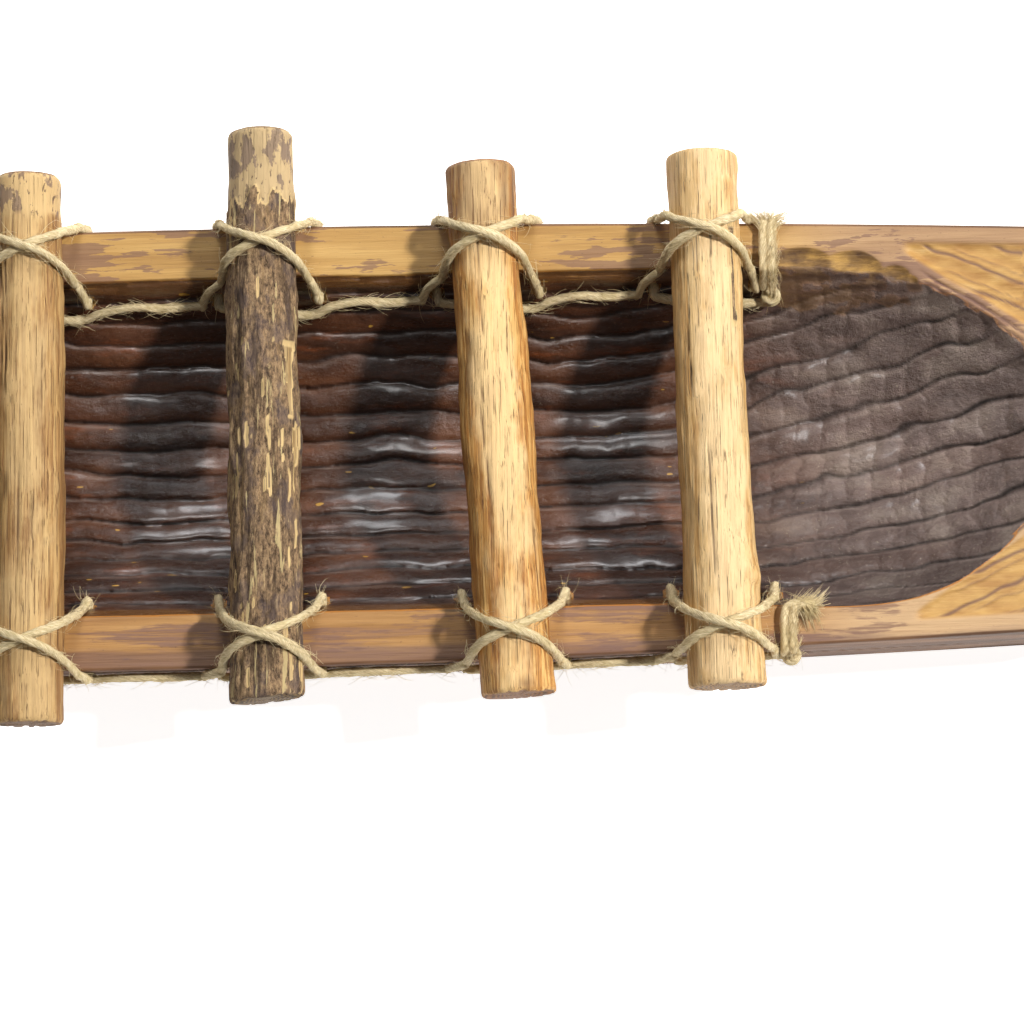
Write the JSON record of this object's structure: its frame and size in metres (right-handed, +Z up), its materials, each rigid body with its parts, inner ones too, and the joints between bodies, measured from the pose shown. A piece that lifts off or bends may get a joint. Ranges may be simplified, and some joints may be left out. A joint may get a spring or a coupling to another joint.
{
  "type": "wooden toboggan",
  "caption": "Dug-out wooden toboggan: a hollowed log hull with upswept ends, and branch rungs seated across its rails and lashed down with natural twine.",
  "frame": {"origin": "middle of the flat sole that it stands on, midway along and across the hull", "axes": "+X along the hull, +Y towards the rail whose twine runs inside the hollow, +Z up"},
  "size_m": [1.12, 0.297, 0.1177],
  "materials": {
    "hull_timber": "oiled, worn satin",
    "peeled_branch": "dry, peeled",
    "bark_branch": "rough bark",
    "lashing_twine": "dry, hairy"
  },
  "bodies": {
    "root": {"hull": "hull_timber", "rung_1": "peeled_branch", "rung_2": "peeled_branch", "rung_3": "peeled_branch", "rung_4": "bark_branch", "rung_5": "peeled_branch", "rung_6": "peeled_branch", "far_lashing_cord": "lashing_twine", "near_lashing_cord": "lashing_twine"}
  },
  "joints": []
}
